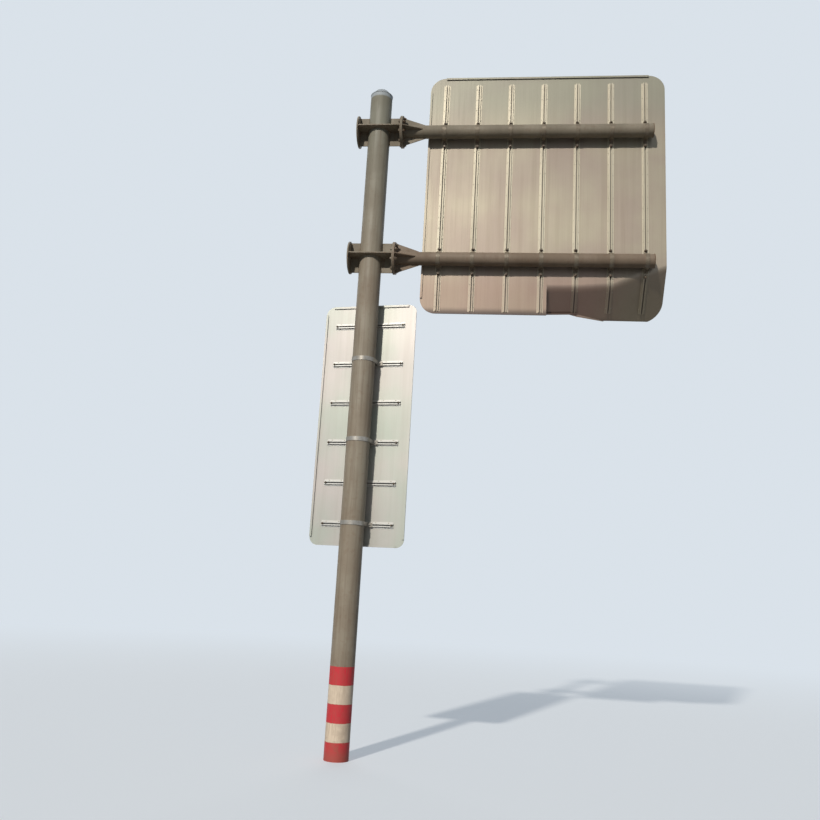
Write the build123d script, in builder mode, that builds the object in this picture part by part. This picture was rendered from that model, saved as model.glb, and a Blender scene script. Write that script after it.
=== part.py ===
from build123d import *
from math import atan, cos, degrees, radians, sin, tan
import os

# Cantilever sign gantry: one round steel pole, two horizontal tube arms bolted to it
# through flanged brackets, a large square sign on the arms and a tall sign on the pole.
# Millimetres. The origin is the centre of the pole's foot at ground level, Z is up,
# X runs along the arms and both signs hang on the +Y side.

# Pole, closed by a cap in the form of a truncated cone
pole_radius = 140.0
pole_wall = 8.0
pole_height = 8170.0
cap_rise = 64.0
cap_top_radius = 88.0
cap_thickness = 5.0
cap_strips = 48

# Arms, hung down from the pole's top
pole_above_arm = 512.0
arm_spacing = 1744.0
arm_radius = 84.0
arm_wall = 6.0
arm_end_before_edge = 162.0
arm_cap_thickness = 6.0

# Brackets between the pole and the arms: round plates, joined by a level shelf and by
# upright stiffeners that stop a little inside the plates' edge
plate_radius = 202.0
plate_edge = 6.0
end_plate_thickness = 16.0
flange_thickness = 16.0
shelf_thickness = 14.0
stiffener_thickness = 12.0
end_plate_face = 270.0
flange_joint = 302.0
side_gusset_length = 250.0
upright_gusset_length = 290.0
gusset_thickness = 10.0
gusset_toe = 8.0

# Sheets of both signs, with the hem that is folded back along their straight edges
sheet_thickness = 3.0
hem_depth = 15.0
hem_lip = 25.0

# Slotted channels riveted to the backs of the sheets
channel_width = 80.0
channel_depth = 25.0
channel_base = 3.0
channel_box = 42.0
channel_wall = 3.0
channel_lip = 4.0
channel_slot = 16.0

# Large sign
main_left = 632.0
main_width = 3000.0
main_foot_below_arm = 676.0
main_height = 3268.0
main_corner = 200.0
rib_count = 7
rib_margin_left = 215.5
rib_margin_right = 252.5
rib_top_gap = 115.0
rib_foot_gap = 5.0

# The large sign is two sheets wide: their joint lies just past one of the channels
joint_rib = 4
joint_past_rib = 79.5
joint_gap = 1.0

# The lower corner of the large sign that the wind has bent forwards: height of the bend
# above the sign's foot and angle of the sheet below it, at the joint of the two sheets, at
# the three channels past it and at the outer edge
bend_height_at_joint = 350.0
bend_height_at_first_rib = 350.0
bend_height_at_second_rib = 380.0
bend_height_at_third_rib = 540.0
bend_height_at_edge = 632.0
bend_angle_at_joint = 44.0
bend_angle_at_first_rib = 47.0
bend_angle_at_second_rib = 44.0
bend_angle_at_third_rib = 42.0
bend_angle_at_edge = 40.0
bend_radius = 120.0
bend_flat = 120.0
bend_landing = 42.0
hem_setback = 1.0
corner_margin = 40.0
bent_corner = 260.0

# Past the first bent channel the hem has been flattened out, so the sheet reaches further
# down, and where that begins a torn lip hangs from it
flattened_hem = 75.0
torn_lip_start = 8.0
torn_lip_middle = 33.0
torn_lip_end = 10.0

# Tall sign on the pole, turned a little about it
side_turn = -8.7
side_width = 1180.0
side_top_below_arm = 576.0
side_height = 2992.0
side_corner = 100.0
rail_count = 6
rail_pitch = 494.0
rail_first = 257.0
rail_length = 900.0

# Straps that hold the channels to the arms and to the pole
strap_width = 50.0
strap_thickness = 5.0
strap_lug = 48.0
strap_plate = 5.0
plate_overhang = 6.0

# Gap that a weld or a paint film closes between a plate and a tube
fit_gap = 0.3

# Places that follow from the sizes above
upper_arm_height = pole_height - pole_above_arm
lower_arm_height = upper_arm_height - arm_spacing
main_bottom = lower_arm_height - main_foot_below_arm
side_bottom = lower_arm_height - side_top_below_arm - side_height
main_right = main_left + main_width
main_top = main_bottom + main_height
arm_end = main_right - arm_end_before_edge
main_back = arm_radius + strap_plate + channel_depth
side_back = pole_radius + strap_plate + channel_depth
rib_pitch = (main_width - rib_margin_left - rib_margin_right) / (rib_count - 1)
rib_places = [main_left + rib_margin_left + rib_pitch * k for k in range(rib_count)]
rib_top = main_top - rib_top_gap
rib_foot = main_bottom + hem_lip + rib_foot_gap
arm_start = flange_joint + flange_thickness
plate_reach = plate_radius - plate_edge
sheet_joint = rib_places[joint_rib - 1] + joint_past_rib
right_sheet_left = sheet_joint + joint_gap
bent_ribs = rib_places[joint_rib:]

os.makedirs("parts", exist_ok=True)


def save(piece, label):
    piece.part.label = label
    export_step(piece.part, f"parts/{label}.step")


# Pole: one steel tube with a thin cap welded on its top, whose slope is bent in strips
with BuildPart() as pole:
    with BuildSketch():
        Circle(pole_radius)
        Circle(pole_radius - pole_wall, mode=Mode.SUBTRACT)
    extrude(amount=pole_height)
save(pole, "pole")

cap_slope = degrees(atan((pole_radius - cap_top_radius) / cap_rise))
with BuildPart() as pole_cap:
    for inset, mode in ((0, Mode.ADD), (cap_thickness, Mode.SUBTRACT)):
        with BuildSketch(Plane.XY.offset(pole_height)):
            RegularPolygon(pole_radius - inset, cap_strips)
        extrude(amount=cap_rise - inset, taper=cap_slope, mode=mode)
save(pole_cap, "pole_cap")


# Bracket on the pole: an end plate and a flange, joined round the pole by a level
# shelf and by upright stiffeners above and below it
def build_bracket(name, height):
    with BuildPart() as end_plate:
        with BuildSketch(Plane.YZ.offset(-end_plate_face)):
            with Locations((0, height)):
                Circle(plate_radius)
        extrude(amount=end_plate_thickness)
    save(end_plate, f"{name}_bracket_end_plate")

    with BuildPart() as flange:
        with BuildSketch(Plane.YZ.offset(flange_joint - flange_thickness)):
            with Locations((0, height)):
                Circle(plate_radius)
        extrude(amount=flange_thickness)
    save(flange, f"{name}_bracket_flange")

    left = -end_plate_face + end_plate_thickness
    right = flange_joint - flange_thickness
    with BuildPart() as shelf:
        with BuildSketch(Plane.XY.offset(height - shelf_thickness / 2)):
            with Locations(((left + right) / 2, 0)):
                Rectangle(right - left, 2 * plate_reach)
            Circle(pole_radius + fit_gap, mode=Mode.SUBTRACT)
        extrude(amount=shelf_thickness)
    save(shelf, f"{name}_bracket_shelf")

    upright = plate_reach - shelf_thickness / 2
    middle = (plate_reach + shelf_thickness / 2) / 2
    edge = pole_radius + fit_gap
    with BuildPart() as stiffeners:
        with BuildSketch(Plane.XZ):
            with Locations((0, height - middle), (0, height + middle)):
                with Locations(((left - edge) / 2, 0)):
                    Rectangle(-edge - left, upright)
                with Locations(((right + edge) / 2, 0)):
                    Rectangle(right - edge, upright)
        extrude(amount=stiffener_thickness / 2, both=True)
    save(stiffeners, f"{name}_bracket_stiffeners")


# Arm: a tube on its own flange, with four gussets, a disc that closes its end and a
# strap with a back plate at every channel of the large sign
def build_arm(name, height):
    with BuildPart() as flange:
        with BuildSketch(Plane.YZ.offset(flange_joint)):
            with Locations((0, height)):
                Circle(plate_radius)
        extrude(amount=flange_thickness)
    save(flange, f"{name}_arm_flange")

    with BuildPart() as tube:
        with BuildSketch(Plane.YZ.offset(arm_start)):
            with Locations((0, height)):
                Circle(arm_radius)
                Circle(arm_radius - arm_wall, mode=Mode.SUBTRACT)
        extrude(amount=arm_end - arm_cap_thickness - arm_start)
    save(tube, f"{name}_arm_tube")

    with BuildPart() as cap:
        with BuildSketch(Plane.YZ.offset(arm_end - arm_cap_thickness)):
            with Locations((0, height)):
                Circle(arm_radius)
        extrude(amount=arm_cap_thickness)
    save(cap, f"{name}_arm_cap")

    near = arm_radius + fit_gap
    with BuildPart() as gussets:
        for turn in (0, 90, 180, 270):
            length = side_gusset_length if turn % 180 else upright_gusset_length
            around = Plane(
                origin=(arm_start, 0, height),
                x_dir=(1, 0, 0),
                z_dir=(0, cos(radians(turn)), sin(radians(turn))),
            )
            with BuildSketch(around):
                with BuildLine():
                    Polyline(
                        (0, near),
                        (length, near),
                        (length, near + gusset_toe),
                        (0, plate_reach),
                        close=True,
                    )
                make_face()
            extrude(amount=gusset_thickness / 2, both=True)
    save(gussets, f"{name}_arm_gussets")

    build_straps(f"{name}_arm_hoops", [arm_plane(x, height) for x in rib_places], arm_radius)
    build_back_plates(
        f"{name}_arm_hoop_plates", [arm_plane(x, height) for x in rib_places], arm_radius
    )


def arm_plane(x, height):
    return Plane(origin=(x, 0, height), x_dir=(0, 0, 1), z_dir=(1, 0, 0))


def side_plane(height):
    turn = radians(side_turn)
    return Plane(origin=(0, 0, height), x_dir=(-cos(turn), -sin(turn), 0), z_dir=(0, 0, 1))


# Strap: a flat bar bent round the tube, with two lugs that lie on the back plate.
# In its plane the first axis runs along the lugs and the second one away from the sign.
def build_straps(label, planes, radius):
    middle = radius + fit_gap + strap_thickness / 2
    lug_level = -(radius - strap_thickness / 2)
    lug_end = middle + strap_lug
    corners = ((-lug_end, lug_level), (-middle, lug_level), (-middle, 0))
    with BuildPart() as straps:
        for plane in planes:
            with BuildSketch(plane.offset(-strap_width / 2)):
                with BuildLine():
                    Polyline(*corners)
                    ThreePointArc((-middle, 0), (0, middle), (middle, 0))
                    Polyline(*[(-across, level) for across, level in corners])
                trace(line_width=strap_thickness)
            extrude(amount=strap_width)
    save(straps, label)


def build_back_plates(label, planes, radius):
    half = radius + fit_gap + strap_thickness + strap_lug + plate_overhang
    with BuildPart() as plates:
        for plane in planes:
            with BuildSketch(plane.offset(-strap_width / 2)):
                with Locations((0, -radius - strap_plate / 2)):
                    Rectangle(2 * half, strap_plate)
            extrude(amount=strap_width)
    save(plates, label)


for arm_name, arm_height in (("lower", lower_arm_height), ("upper", upper_arm_height)):
    build_bracket(arm_name, arm_height)
    build_arm(arm_name, arm_height)


# Slotted channel: the section has a wide foot on the sheet and a box with a slot for
# bolt heads. In its plane the second axis points away from the sheet.
def channel_section(plane):
    box_inside = channel_box - 2 * channel_wall
    with BuildSketch(plane) as section:
        with Locations((0, channel_base / 2)):
            Rectangle(channel_width, channel_base)
        with Locations((0, channel_depth / 2)):
            Rectangle(channel_box, channel_depth)
        with Locations((0, (channel_base + channel_depth - channel_lip) / 2)):
            Rectangle(
                box_inside, channel_depth - channel_base - channel_lip, mode=Mode.SUBTRACT
            )
        with Locations((0, channel_depth - channel_lip / 2)):
            Rectangle(channel_slot, channel_lip, mode=Mode.SUBTRACT)
    return section.sketch


# The bend climbs from the joint of the two sheets to the outer edge. Where a channel is
# riveted on, the sheet keeps flat across it; between the channels it twists. A station is
# a place along the sign, the angle and the height of the bend, and what the flattened
# hem adds to the sheet's length below it.
bends_at_ribs = [
    (bend_angle_at_first_rib, bend_height_at_first_rib, 0.0),
    (bend_angle_at_second_rib, bend_height_at_second_rib, flattened_hem),
    (bend_angle_at_third_rib, bend_height_at_third_rib, flattened_hem),
]
bend_stations = [(right_sheet_left, bend_angle_at_joint, bend_height_at_joint, 0.0)]
for rib_x, bend in zip(bent_ribs, bends_at_ribs):
    bend_stations.append((rib_x - bend_landing, *bend))
    bend_stations.append((rib_x + bend_landing, *bend))
bend_stations.append((main_right, bend_angle_at_edge, bend_height_at_edge, flattened_hem))
hemmed_stations = bend_stations[:3]
lip_stations = bend_stations[1:4]
torn_lip = [torn_lip_start, torn_lip_middle, torn_lip_end]


# Angle in radians, height of the bend and length of the sheet below it at one place
def bend_at(x):
    for low, high in zip(bend_stations, bend_stations[1:]):
        if x <= high[0]:
            share = (x - low[0]) / (high[0] - low[0])
            angle, height, added = [a + (b - a) * share for a, b in zip(low[1:], high[1:])]
            return radians(angle), main_bottom + height, height + added


# Line of the sheet's back from a height above the bend down to a length below it
def folded(x, start, length):
    angle, height, full_length = bend_at(x)
    foot = (main_back + length * sin(angle), height - length * cos(angle))
    return FilletPolyline(
        (main_back, start), (main_back, height), foot, radius=bend_radius + sheet_thickness
    )


for index, x in enumerate(rib_places):
    top = Plane(origin=(x, main_back, rib_top), x_dir=(1, 0, 0), z_dir=(0, 0, -1))
    with BuildPart() as rib:
        if x < sheet_joint:
            extrude(channel_section(top), amount=rib_top - rib_foot)
        else:
            with BuildLine(Plane.YZ.offset(x)) as spine:
                folded(x, rib_top, bend_at(x)[1] - rib_foot)
            sweep(channel_section(top), path=spine.line)
    save(rib, f"main_sign_rib_{index + 1}")


# Hem: the sheet's edge is folded back to a flange and a lip. The plane's first axis
# points from the edge into the sheet, the second one to the back of the sign.
def hem_section(plane):
    root = sheet_thickness / 2
    with BuildSketch(plane) as section:
        with Locations((sheet_thickness / 2, (hem_depth - root) / 2)):
            Rectangle(sheet_thickness, hem_depth + root)
        with Locations((hem_lip / 2, hem_depth - sheet_thickness / 2)):
            Rectangle(hem_lip, sheet_thickness)
    return section.sketch


# Left sheet of the large sign, flat, hemmed along three edges
with BuildPart() as left_sheet:
    width = sheet_joint - main_left
    with BuildSketch(Plane.XZ.offset(-main_back)) as outline:
        with Locations((main_left + width / 2, main_bottom + main_height / 2)):
            Rectangle(width, main_height)
        fillet(outline.vertices().group_by(Axis.X)[0], radius=main_corner)
    extrude(amount=-sheet_thickness)
    for z, inward in ((main_bottom, 1), (main_top, -1)):
        edge = Plane(
            origin=(main_left + main_corner, main_back, z), x_dir=(0, 0, inward), z_dir=(inward, 0, 0)
        )
        extrude(hem_section(edge), amount=inward * (width - main_corner))
    edge = Plane(
        origin=(main_left, main_back, main_bottom + main_corner), x_dir=(1, 0, 0), z_dir=(0, 0, -1)
    )
    extrude(hem_section(edge), amount=-(main_height - 2 * main_corner))
save(left_sheet, "main_sign_left_sheet")


# Plane near the foot of the bent sheet: its first axis climbs the sheet
def foot_plane(x, above_foot=0.0):
    angle, height, full_length = bend_at(x)
    length = full_length - above_foot
    return Plane(
        origin=(x, main_back + length * sin(angle), height - length * cos(angle)),
        x_dir=(0, -sin(angle), cos(angle)),
        z_dir=(1, 0, 0),
    )


# The torn lip at one place: it hangs straight down from the middle of the sheet's foot
def lip_section(x, length):
    root = foot_plane(x)
    angle = bend_at(x)[0]
    y = root.origin.Y + cos(angle) * sheet_thickness / 2
    z = root.origin.Z + sin(angle) * sheet_thickness / 2
    overlap = sheet_thickness
    with BuildSketch(Plane.YZ.offset(x)) as section:
        with Locations((y, z - (length - overlap) / 2)):
            Rectangle(sheet_thickness, length + overlap)
    return section.sketch


# Right sheet of the large sign: flat above the bend, below it a loft through the
# sheet's own section at the joint, on both sides of each channel and at the outer edge
flat_bottom = main_bottom + bend_height_at_edge + bend_flat
with BuildPart() as right_sheet:
    width = main_right - right_sheet_left
    with BuildSketch(Plane.XZ.offset(-main_back)) as outline:
        with Locations((right_sheet_left + width / 2, (flat_bottom + main_top) / 2)):
            Rectangle(width, main_top - flat_bottom)
        fillet(outline.vertices().sort_by(Axis.Y)[-2:].sort_by(Axis.X)[-1], radius=main_corner)
    extrude(amount=-sheet_thickness)
    for x, *bend in bend_stations:
        angle, height, length = bend_at(x)
        with BuildSketch(Plane.YZ.offset(x)):
            with BuildLine():
                back = folded(x, flat_bottom, length)
                front = FilletPolyline(
                    back @ 1 + Vector(cos(angle), sin(angle)) * sheet_thickness,
                    (main_back + sheet_thickness, height + sheet_thickness * tan(angle / 2)),
                    (main_back + sheet_thickness, flat_bottom),
                    radius=bend_radius,
                )
                Line(back @ 1, front @ 0)
                Line(front @ 1, back @ 0)
            make_face()
    loft(ruled=True)

    # the torn lip, from the last channel with a hem to the next one
    lip = [lip_section(station[0], length) for station, length in zip(lip_stations, torn_lip)]
    loft(lip, ruled=True)

    # its lower outer corner is rounded in the plane of the bent sheet
    foot = foot_plane(main_right)
    with BuildSketch(Plane(origin=foot.origin, x_dir=(1, 0, 0), z_dir=foot.y_dir)):
        with Locations(((corner_margin - bent_corner) / 2, (bent_corner - corner_margin) / 2)):
            Rectangle(bent_corner + corner_margin, bent_corner + corner_margin)
        with Locations((-bent_corner, bent_corner)):
            Circle(bent_corner, mode=Mode.SUBTRACT)
    extrude(amount=corner_margin, both=True, mode=Mode.SUBTRACT)

    # hems along the top, down the outer edge and over the bend, and along the bent foot
    top_edge = Plane(
        origin=(right_sheet_left, main_back, main_top), x_dir=(0, 0, -1), z_dir=(-1, 0, 0)
    )
    extrude(hem_section(top_edge), amount=-(width - main_corner))
    outer_edge = Plane(
        origin=(main_right, main_back, main_top - main_corner), x_dir=(-1, 0, 0), z_dir=(0, 0, -1)
    )
    with BuildLine(Plane.YZ.offset(main_right)) as outer_path:
        folded(main_right, main_top - main_corner, bend_height_at_edge - bent_corner)
    sweep(hem_section(outer_edge), path=outer_path.line)
    hem_planes = [foot_plane(x, hem_setback) for x, *bend in hemmed_stations]
    loft([hem_section(plane) for plane in hem_planes], ruled=True)
save(right_sheet, "main_sign_right_sheet")

# Tall sign: one sheet hemmed along its four straight edges, six level channels behind
# it and three straps round the pole
side_x = Vector(cos(radians(side_turn)), sin(radians(side_turn)), 0)
side_y = Vector(-sin(radians(side_turn)), cos(radians(side_turn)), 0)
side_middle = side_bottom + side_height / 2


def side_point(along, height):
    return side_x * along + side_y * side_back + Vector(0, 0, height)


with BuildPart() as side_sheet:
    with BuildSketch(Plane(origin=side_point(0, side_middle), x_dir=side_x, z_dir=-side_y)):
        RectangleRounded(side_width, side_height, side_corner)
    extrude(amount=-sheet_thickness)
    for z, inward in ((side_bottom, 1), (side_bottom + side_height, -1)):
        edge = Plane(
            origin=side_point(-side_width / 2 + side_corner, z),
            x_dir=(0, 0, inward),
            z_dir=side_x * inward,
        )
        extrude(hem_section(edge), amount=inward * (side_width - 2 * side_corner))
    for x, inward in ((-side_width / 2, 1), (side_width / 2, -1)):
        edge = Plane(
            origin=side_point(x, side_bottom + side_corner),
            x_dir=side_x * inward,
            z_dir=(0, 0, -inward),
        )
        extrude(hem_section(edge), amount=-inward * (side_height - 2 * side_corner))
save(side_sheet, "side_sign_sheet")

for index in range(rail_count):
    height = side_bottom + rail_first + rail_pitch * index
    with BuildPart() as rail:
        end = Plane(origin=side_point(-rail_length / 2, height), x_dir=(0, 0, 1), z_dir=side_x)
        extrude(channel_section(end), amount=rail_length)
    save(rail, f"side_sign_rail_{index + 1}")
    if index % 2 == 0:
        strap_name = f"side_sign_hoop_{index // 2 + 1}"
        build_straps(strap_name, [side_plane(height)], pole_radius)
        build_back_plates(f"{strap_name}_plate", [side_plane(height)], pole_radius)
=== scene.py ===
import math
import random
import bmesh
import bpy
from mathutils import Matrix, Vector
from mathutils.bvhtree import BVHTree


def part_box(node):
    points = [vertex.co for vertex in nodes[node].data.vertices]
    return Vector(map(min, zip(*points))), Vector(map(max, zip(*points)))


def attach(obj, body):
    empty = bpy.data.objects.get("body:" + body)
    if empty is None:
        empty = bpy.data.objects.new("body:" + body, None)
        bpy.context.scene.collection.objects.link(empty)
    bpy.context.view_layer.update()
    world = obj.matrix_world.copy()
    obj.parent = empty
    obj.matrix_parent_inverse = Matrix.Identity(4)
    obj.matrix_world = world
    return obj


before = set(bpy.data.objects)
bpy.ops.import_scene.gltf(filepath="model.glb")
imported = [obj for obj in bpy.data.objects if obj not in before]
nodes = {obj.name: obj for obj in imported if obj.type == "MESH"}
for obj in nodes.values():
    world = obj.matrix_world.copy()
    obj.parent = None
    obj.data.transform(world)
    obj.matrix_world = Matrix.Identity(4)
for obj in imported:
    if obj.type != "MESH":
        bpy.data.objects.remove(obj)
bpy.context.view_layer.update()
scene = bpy.context.scene
scene.view_settings.view_transform = "Standard"

# The view: from the verge behind the signs, at a standing person's eye height, looking
# slightly up. Metres and degrees, and millimetres for the lens.
eye = Vector((1.7606, -9.7114, 1.8338))
eye_turn, eye_lift, eye_roll = 6.80, 12.38, 3.23
sensor_width, lens_length = 36.0, 36.73
camera_data = bpy.data.cameras.new("view_camera")
camera_data.sensor_width = sensor_width
camera_data.lens = lens_length
camera = bpy.data.objects.new("view_camera", camera_data)
scene.collection.objects.link(camera)
camera.matrix_world = (
    Matrix.Translation(eye)
    @ Matrix.Rotation(math.radians(eye_turn), 4, "Z")
    @ Matrix.Rotation(math.radians(90 + eye_lift), 4, "X")
    @ Matrix.Rotation(math.radians(eye_roll), 4, "Z")
)
scene.camera = camera


# The lamps: a broad key lamp from behind the viewer's left shoulder, and a weak, very soft
# lamp from the other side, which lights the signs' fronts a little.
def lamp(name, strength, colour, spread, direction):
    lamp_data = bpy.data.lights.new(name, "SUN")
    lamp_data.energy = strength
    lamp_data.color = colour
    lamp_data.angle = math.radians(spread)
    lamp_object = bpy.data.objects.new(name, lamp_data)
    lamp_object.rotation_euler = Vector(direction).to_track_quat("-Z", "Y").to_euler()
    scene.collection.objects.link(lamp_object)


lamp("key_lamp", 2.7, colour=(1.0, 0.95, 0.87), spread=2.5, direction=(0.33, 1.0, -0.65))
lamp("front_lamp", 1.0, colour=(0.95, 0.97, 1.0), spread=60, direction=(0.25, -1.0, -0.45))

# The backdrop: a dim even fill from all round, which the view and the reflections see as
# a plain pale grey.
backdrop_colour = (0.70, 0.76, 0.82, 1.0)
fill_colour, fill_strength = (0.62, 0.80, 1.0, 1.0), 0.20


# A node of a shader tree, with its inputs set by name or number and its links made
def add(tree, kind, inputs=None, **settings):
    node = tree.nodes.new(kind)
    for name, value in settings.items():
        setattr(node, name, value)
    for name, value in (inputs or {}).items():
        if isinstance(value, bpy.types.NodeSocket):
            tree.links.new(value, node.inputs[name])
        else:
            node.inputs[name].default_value = value
    return node


def math_of(tree, operation, first, second=0.0, clamp=False):
    inputs = {0: first, 1: second}
    return add(tree, "ShaderNodeMath", inputs, operation=operation, use_clamp=clamp).outputs[0]


def mix_of(tree, share, first, second):
    inputs = {0: share, 6: first, 7: second}
    return add(tree, "ShaderNodeMix", inputs, data_type="RGBA").outputs[2]


def range_of(tree, value, low, high, to_low=0.0, to_high=1.0, smooth=True):
    inputs = {0: value, 1: low, 2: high, 3: to_low, 4: to_high}
    shape = "SMOOTHSTEP" if smooth else "LINEAR"
    return add(tree, "ShaderNodeMapRange", inputs, interpolation_type=shape).outputs[0]


# True for what the eye sees, directly, in a reflection or through glass
def seen_ray(tree):
    ray = add(tree, "ShaderNodeLightPath").outputs
    seen = math_of(tree, "MAXIMUM", ray["Is Camera Ray"], ray["Is Glossy Ray"])
    return math_of(tree, "MAXIMUM", seen, ray["Is Transmission Ray"])


world = bpy.data.worlds.new("plain_backdrop")
world.use_nodes = True
scene.world = world
tree = world.node_tree
seen = seen_ray(tree)
background = tree.nodes["Background"].inputs
tree.links.new(mix_of(tree, seen, fill_colour, backdrop_colour), background["Color"])
tree.links.new(range_of(tree, seen, 0, 1, fill_strength, 1.0), background["Strength"])

# The floor: a plain pale disc that fades into the backdrop round the gantry, so that
# hardly a horizon shows. It bounces only a little light up at the object.
floor_radius, floor_sides = 70.0, 96
floor_fade, floor_haze = (5.0, 26.0), 0.35
floor_colour, floor_bounce_colour = (0.82, 0.84, 0.86, 1.0), (0.185, 0.168, 0.142, 1.0)
floor_rough, floor_gloss = 0.9, 0.1


# A new material and its shader tree
def new_material(name):
    material = bpy.data.materials.new(name)
    material.use_nodes = True
    return material, material.node_tree


floor_mesh = bpy.data.meshes.new("floor")
bm = bmesh.new()
bmesh.ops.create_circle(bm, cap_ends=True, segments=floor_sides, radius=floor_radius)
bm.to_mesh(floor_mesh)
bm.free()
floor = bpy.data.objects.new("floor", floor_mesh)
scene.collection.objects.link(floor)
floor_material, tree = new_material("pale_floor")
place = add(tree, "ShaderNodeTexCoord").outputs["Object"]
distance = add(tree, "ShaderNodeVectorMath", {0: place}, operation="LENGTH").outputs["Value"]
shader = tree.nodes["Principled BSDF"]
shader.inputs["Roughness"].default_value = floor_rough
shader.inputs["Specular IOR Level"].default_value = floor_gloss
floor_shade = mix_of(tree, seen_ray(tree), floor_bounce_colour, floor_colour)
tree.links.new(floor_shade, shader.inputs["Base Color"])
haze = add(tree, "ShaderNodeEmission", {"Color": backdrop_colour, "Strength": 1.0})
fade = range_of(tree, distance, *floor_fade, floor_haze, 1.0)
fade = math_of(tree, "MULTIPLY", fade, seen_ray(tree))
cover = add(tree, "ShaderNodeMixShader", {0: fade, 1: shader.outputs[0], 2: haze.outputs[0]})
tree.links.new(cover.outputs[0], tree.nodes["Material Output"].inputs["Surface"])
floor_mesh.materials.append(floor_material)


# Weathering, shared by every finish: blotches a hand or more wide, streaks that rain has
# drawn down the metal, and a fine grain. Sizes in metres.
blotch_band, streak_band = (0.36, 0.64), (0.42, 0.68)


# A shader node group: named inputs with their usual values, and what a function makes of
# them as its outputs
def new_group(name, inputs, fill):
    group = bpy.data.node_groups.new(name, "ShaderNodeTree")
    value = "NodeSocketFloat"
    for socket_name, usual in inputs.items():
        socket = group.interface.new_socket(socket_name, in_out="INPUT", socket_type=value)
        socket.default_value = usual
    results = fill(group, group.nodes.new("NodeGroupInput").outputs)
    for socket_name in results:
        group.interface.new_socket(socket_name, in_out="OUTPUT", socket_type=value)
    leave = group.nodes.new("NodeGroupOutput")
    for socket_name, result in results.items():
        group.links.new(result, leave.inputs[socket_name])
    return group


def use(tree, group, inputs=None):
    return add(tree, "ShaderNodeGroup", inputs, node_tree=group).outputs


# Colour from its red, green and blue parts out of 255, as seen on a screen
def tone(red, green, blue):
    parts = [part / 255 for part in (red, green, blue)]
    linear = [
        part / 12.92 if part <= 0.04045 else ((part + 0.055) / 1.055) ** 2.4 for part in parts
    ]
    return (*linear, 1.0)


def noise_of(tree, scale, detail):
    place = add(tree, "ShaderNodeTexCoord").outputs["Object"]
    inputs = {"Vector": place, "Scale": scale, "Detail": detail}
    return add(tree, "ShaderNodeTexNoise", inputs).outputs[0]


# Noise of a width, with its own scale along the height
def drawn_noise(tree, width, along, detail):
    place = add(tree, "ShaderNodeTexCoord").outputs["Object"]
    across = math_of(tree, "DIVIDE", 1.0, width)
    stretch = add(tree, "ShaderNodeCombineXYZ", {0: across, 1: across, 2: along}).outputs[0]
    drawn = add(tree, "ShaderNodeVectorMath", {0: place, 1: stretch}, operation="MULTIPLY")
    inputs = {"Vector": drawn.outputs[0], "Scale": 1.0, "Detail": detail}
    return add(tree, "ShaderNodeTexNoise", inputs).outputs[0]


def fill_weathering(tree, given):
    blotches = noise_of(tree, math_of(tree, "DIVIDE", 1.0, given["Blotch Size"]), detail=5.0)
    along = math_of(tree, "DIVIDE", 1.0, given["Streak Length"])
    streaks = drawn_noise(tree, given["Streak Width"], along, detail=4.0)
    return {
        "Blotches": range_of(tree, blotches, *blotch_band),
        "Streaks": range_of(tree, streaks, *streak_band),
        "Grain": noise_of(tree, math_of(tree, "DIVIDE", 1.0, given["Grain Size"]), detail=2.0),
    }


weathering = new_group(
    "weathering",
    {"Blotch Size": 0.5, "Streak Width": 0.04, "Streak Length": 0.8, "Grain Size": 0.004},
    fill_weathering,
)


# Runs below: rust or dirt that water has carried down from a seam at one height, thinner
# the further down it came.
run_thinning, run_along, run_band = 1.6, 0.9, (0.47, 0.72)


# The three parts of a point's place on the object
def parts_of(tree):
    place = add(tree, "ShaderNodeTexCoord").outputs["Object"]
    return add(tree, "ShaderNodeSeparateXYZ", {0: place}).outputs


def fill_runs(tree, given):
    height = parts_of(tree)[2]
    lowest = math_of(tree, "SUBTRACT", given["Height"], given["Length"])
    share = range_of(tree, height, lowest, given["Height"], smooth=False)
    under = math_of(tree, "LESS_THAN", height, given["Height"])
    thinned = math_of(tree, "POWER", math_of(tree, "MULTIPLY", share, under), run_thinning)
    threads = range_of(tree, drawn_noise(tree, given["Width"], run_along, detail=3.0), *run_band)
    return {"Runs": math_of(tree, "MULTIPLY", thinned, threads)}


runs_below = new_group("runs_below", {"Height": 1.0, "Length": 0.5, "Width": 0.02}, fill_runs)


# Worn edges: the band along each sharp edge, as wide as the radius, where handling and
# weather wear a coat off. A coarse noise breaks it up.
edge_band, break_scale, break_band = (0.995, 0.86), 22.0, (0.38, 0.6)


def fill_edges(tree, given):
    rounded = add(tree, "ShaderNodeBevel", {"Radius": given["Radius"]}, samples=4)
    real = add(tree, "ShaderNodeNewGeometry").outputs["Normal"]
    both = {0: rounded.outputs[0], 1: real}
    alike = add(tree, "ShaderNodeVectorMath", both, operation="DOT_PRODUCT").outputs["Value"]
    edge = range_of(tree, alike, *edge_band)
    broken = range_of(tree, noise_of(tree, break_scale, detail=4.0), *break_band)
    return {"Edges": math_of(tree, "MULTIPLY", edge, broken)}


worn_edges = new_group("worn_edges", {"Radius": 0.004}, fill_edges)

# Oil paint on steel, brushed on and years old: chalked in blotches, streaked by rain and
# rusting through at its edges, in specks and below the seams whose heights are given.
rust_colour = tone(112, 66, 40)
speck_from, speck_rust, run_rust, edge_rust = 0.9, 0.10, 0.55, 0.5
paint_smooth, paint_chalked, rust_roughens, rust_swells = 0.50, 0.62, 0.35, 0.8


# Colour laid over a base where a mask says, at a share of its strength
def lay(tree, base, mask, share, colour):
    return mix_of(tree, math_of(tree, "MULTIPLY", mask, share), base, colour)


def recolour(tree, base):
    tree.links.new(base, tree.nodes["Principled BSDF"].inputs["Base Color"])


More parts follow.
